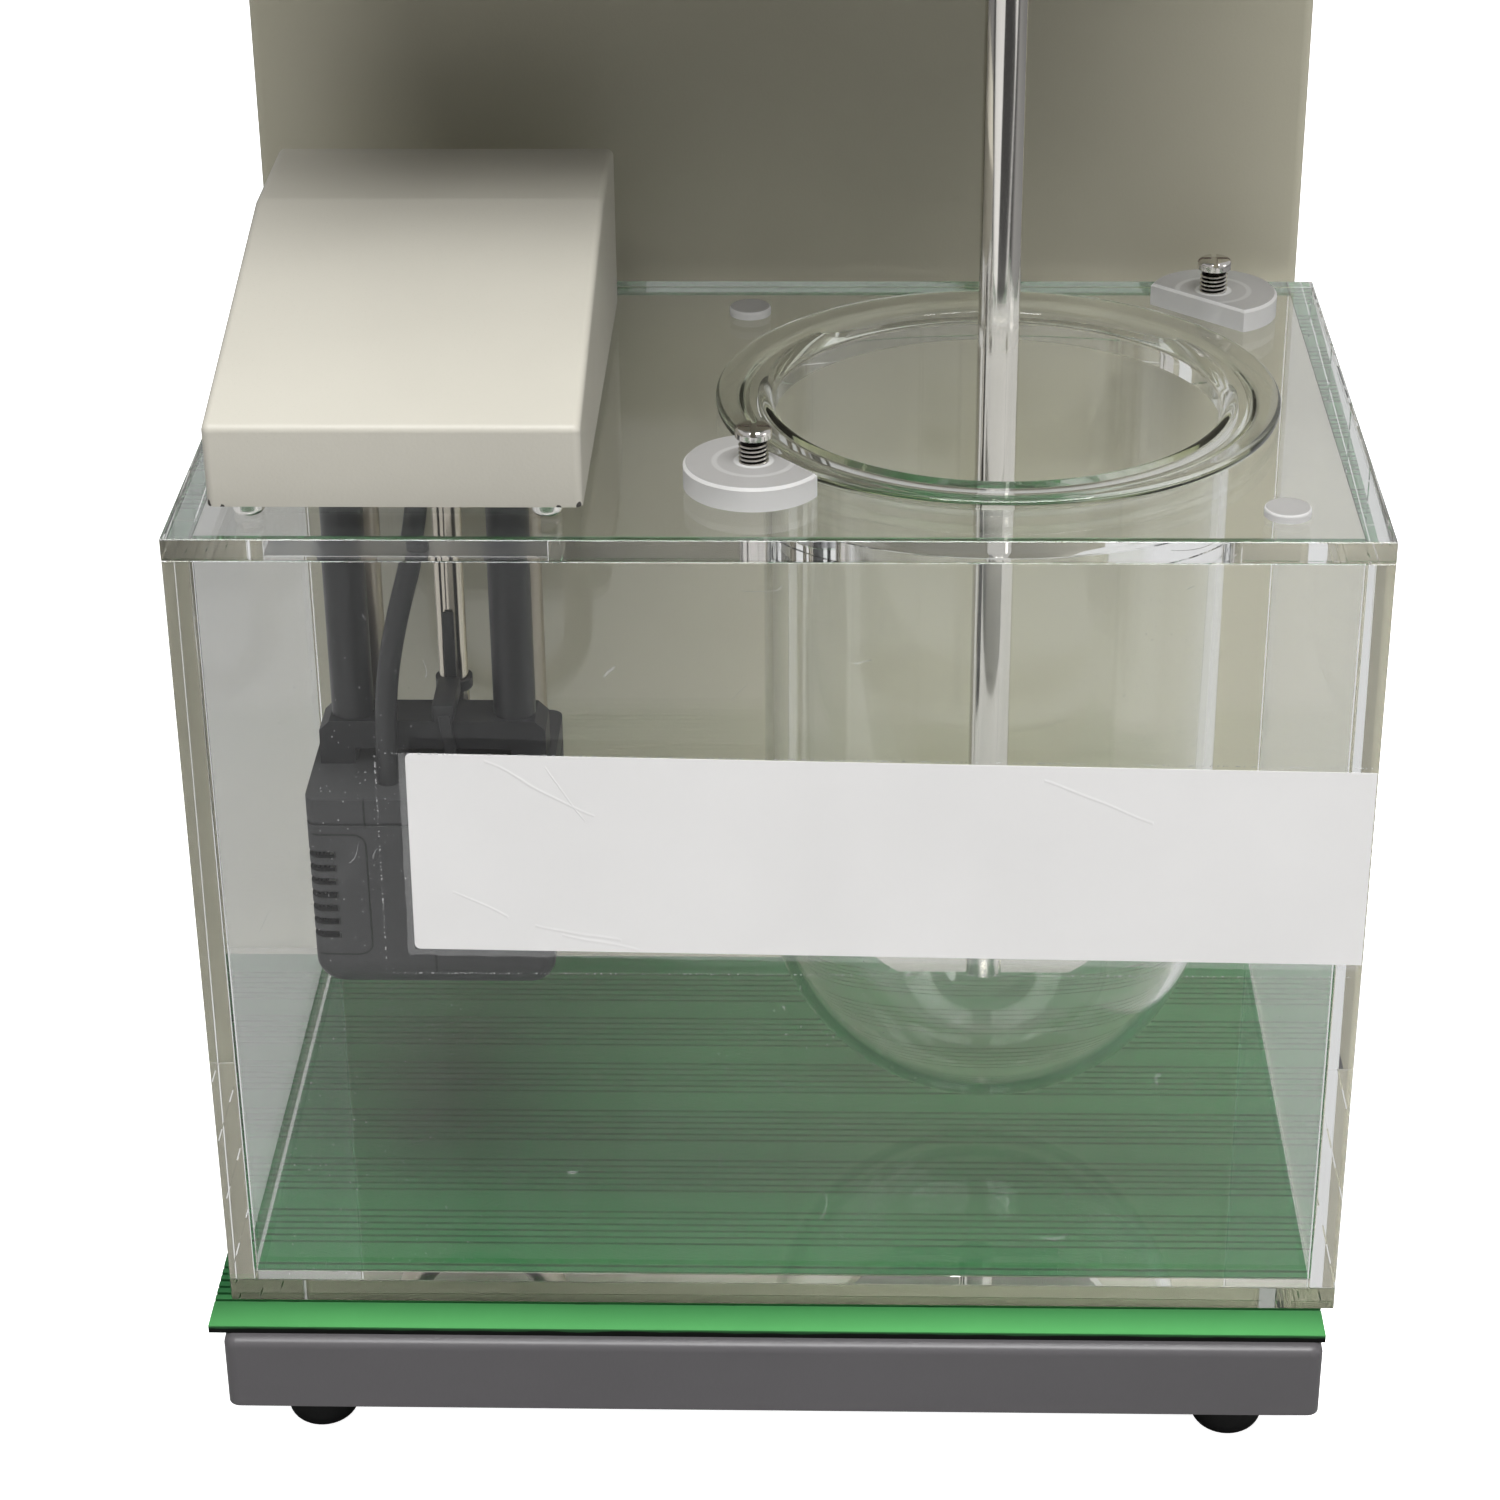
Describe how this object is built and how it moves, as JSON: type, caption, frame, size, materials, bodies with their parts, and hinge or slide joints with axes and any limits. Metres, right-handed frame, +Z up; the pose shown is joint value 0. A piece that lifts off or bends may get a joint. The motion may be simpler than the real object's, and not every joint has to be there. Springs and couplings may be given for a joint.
{
  "type": "tablet dissolution tester",
  "caption": "Bench tester with a clear water bath, a round bottomed glass vessel hung in its lid, a stirring paddle under a drive head, and a heater and pump module.",
  "frame": {"origin": "on the bench, under the middle of the machine's outer box", "axes": "+Z up, -Y towards the user, +X to the user's right"},
  "size_m": [0.264, 0.267, 0.539],
  "materials": {
    "base_pan": "satin",
    "base_bottom_plate": "plain",
    "rubber_feet": "matt",
    "ribbed_mat": "matt",
    "column_shell": "satin",
    "column_back_cover": "satin",
    "case_screws": "satin",
    "bath_floor_pane": "clear",
    "bath_left_pane": "clear",
    "bath_right_pane": "clear",
    "bath_front_pane": "clear",
    "bath_back_pane": "clear",
    "bath_lid": "clear",
    "clamp_screws": "satin",
    "locating_buttons": "frosted",
    "head_shell": "satin",
    "head_floor_plate": "plain",
    "spindle_housing": "turned",
    "spindle_bushes": "turned",
    "drive_motor": "satin",
    "motor_gearbox": "plain",
    "head_top_bush": "matt",
    "control_panel": "satin",
    "display_window": "gloss",
    "control_board": "plain",
    "rocker_frames": "matt",
    "heater_socket": "matt",
    "mains_inlet": "matt",
    "power_transformer": "plain",
    "relay_board": "plain",
    "hollow_spindle": "satin",
    "spindle_gear": "cut",
    "spindle_collar": "satin",
    "chuck_body": "satin",
    "chuck_nut": "satin",
    "paddle_shaft": "polished",
    "paddle_blade": "polished",
    "motor_output_shaft": "satin",
    "motor_pinion": "satin",
    "glass_vessel": "clear",
    "vessel_clamp_front": "frosted",
    "vessel_clamp_rear": "frosted",
    "module_cover": "satin",
    "module_base_plate": "plain",
    "module_foot_screws": "satin",
    "hanger_tubes": "matt",
    "pump_hanger": "matt",
    "pump_body": "matt",
    "pump_intake_cover": "matt",
    "pump_lead": "matt",
    "lead_grommet": "matt",
    "heater_tube": "polished",
    "temperature_probe": "polished",
    "probe_tie": "matt",
    "pump_impeller": "plain",
    "set_button": "satin",
    "up_button": "satin",
    "down_button": "satin",
    "heat_rocker": "matt",
    "power_rocker": "matt"
  },
  "bodies": {
    "machine": {"base_pan": "base_pan", "base_bottom_plate": "base_bottom_plate", "rubber_feet": "rubber_feet", "ribbed_mat": "ribbed_mat", "column_shell": "column_shell", "column_back_cover": "column_back_cover", "case_screws": "case_screws", "bath_floor_pane": "bath_floor_pane", "bath_left_pane": "bath_left_pane", "bath_right_pane": "bath_right_pane", "bath_front_pane": "bath_front_pane", "bath_back_pane": "bath_back_pane", "bath_lid": "bath_lid", "clamp_screws": "clamp_screws", "locating_buttons": "locating_buttons", "head_shell": "head_shell", "head_floor_plate": "head_floor_plate", "spindle_housing": "spindle_housing", "spindle_bushes": "spindle_bushes", "drive_motor": "drive_motor", "motor_gearbox": "motor_gearbox", "head_top_bush": "head_top_bush", "control_panel": "control_panel", "display_window": "display_window", "control_board": "control_board", "rocker_frames": "rocker_frames", "heater_socket": "heater_socket", "mains_inlet": "mains_inlet", "power_transformer": "power_transformer", "relay_board": "relay_board"},
    "spindle": {"hollow_spindle": "hollow_spindle", "spindle_gear": "spindle_gear", "spindle_collar": "spindle_collar", "chuck_body": "chuck_body"},
    "collet_nut": {"chuck_nut": "chuck_nut"},
    "paddle": {"paddle_shaft": "paddle_shaft", "paddle_blade": "paddle_blade"},
    "motor_rotor": {"motor_output_shaft": "motor_output_shaft", "motor_pinion": "motor_pinion"},
    "vessel": {"glass_vessel": "glass_vessel"},
    "front_clamp": {"vessel_clamp_front": "vessel_clamp_front"},
    "rear_clamp": {"vessel_clamp_rear": "vessel_clamp_rear"},
    "heater_module": {"module_cover": "module_cover", "module_base_plate": "module_base_plate", "module_foot_screws": "module_foot_screws", "hanger_tubes": "hanger_tubes", "pump_hanger": "pump_hanger", "pump_body": "pump_body", "pump_intake_cover": "pump_intake_cover", "pump_lead": "pump_lead", "lead_grommet": "lead_grommet", "heater_tube": "heater_tube", "temperature_probe": "temperature_probe", "probe_tie": "probe_tie"},
    "impeller": {"pump_impeller": "pump_impeller"},
    "set_key": {"set_button": "set_button"},
    "up_key": {"up_button": "up_button"},
    "down_key": {"down_button": "down_button"},
    "heat_switch": {"heat_rocker": "heat_rocker"},
    "power_switch": {"power_rocker": "power_rocker"}
  },
  "joints": [
    {"name": "spindle_turn", "type": "hinge", "parent": "machine", "child": "spindle", "pos_m": [0.051, -0.045, 0.45], "axis": [0, 0, 1], "continuous": true},
    {"name": "motor_turn", "type": "hinge", "parent": "machine", "child": "motor_rotor", "pos_m": [0.009, -0.045, 0.48], "axis": [0, 0, 1], "continuous": true},
    {"name": "collet_nut_turn", "type": "hinge", "parent": "spindle", "child": "collet_nut", "pos_m": [0.051, -0.045, 0.392], "axis": [0, 0, 1], "range_deg": [0, 120]},
    {"name": "paddle_lift", "type": "slide", "parent": "spindle", "child": "paddle", "axis": [0, 0, 1], "range_m": [0, 0.1]},
    {"name": "vessel_lift", "type": "slide", "parent": "machine", "child": "vessel", "axis": [0, 0, 1], "range_m": [0, 0.018]},
    {"name": "front_clamp_lift", "type": "slide", "parent": "machine", "child": "front_clamp", "axis": [0, 0, 1], "range_m": [0, 0.0054]},
    {"name": "rear_clamp_lift", "type": "slide", "parent": "machine", "child": "rear_clamp", "axis": [0, 0, 1], "range_m": [0, 0.0054]},
    {"name": "heater_module_lift", "type": "slide", "parent": "machine", "child": "heater_module", "axis": [0, 0, 1], "range_m": [0, 0.14]},
    {"name": "impeller_turn", "type": "hinge", "parent": "heater_module", "child": "impeller", "pos_m": [-0.1034, -0.075, 0.13575], "axis": [1, 0, 0], "continuous": true},
    {"name": "heat_switch_rock", "type": "hinge", "parent": "machine", "child": "heat_switch", "pos_m": [0.072, -0.09683, 0.48725], "axis": [-1, 0, 0], "range_deg": [0, 16]},
    {"name": "power_switch_rock", "type": "hinge", "parent": "machine", "child": "power_switch", "pos_m": [0.094, -0.09683, 0.48725], "axis": [-1, 0, 0], "range_deg": [0, 16]},
    {"name": "set_key_press", "type": "slide", "parent": "machine", "child": "set_key", "axis": [0, 0.9785, -0.206], "range_m": [0, 0.001], "stiffness_N_per_m": 150, "springref_m": -0.002},
    {"name": "down_key_press", "type": "slide", "parent": "machine", "child": "down_key", "axis": [0, 0.9785, -0.206], "range_m": [0, 0.001], "stiffness_N_per_m": 150, "springref_m": -0.002},
    {"name": "up_key_press", "type": "slide", "parent": "machine", "child": "up_key", "axis": [0, 0.9785, -0.206], "range_m": [0, 0.001], "stiffness_N_per_m": 150, "springref_m": -0.002}
  ],
  "couplings": [
    {"joint": "motor_turn", "follows": "spindle_turn", "ratio": -2.5}
  ]
}
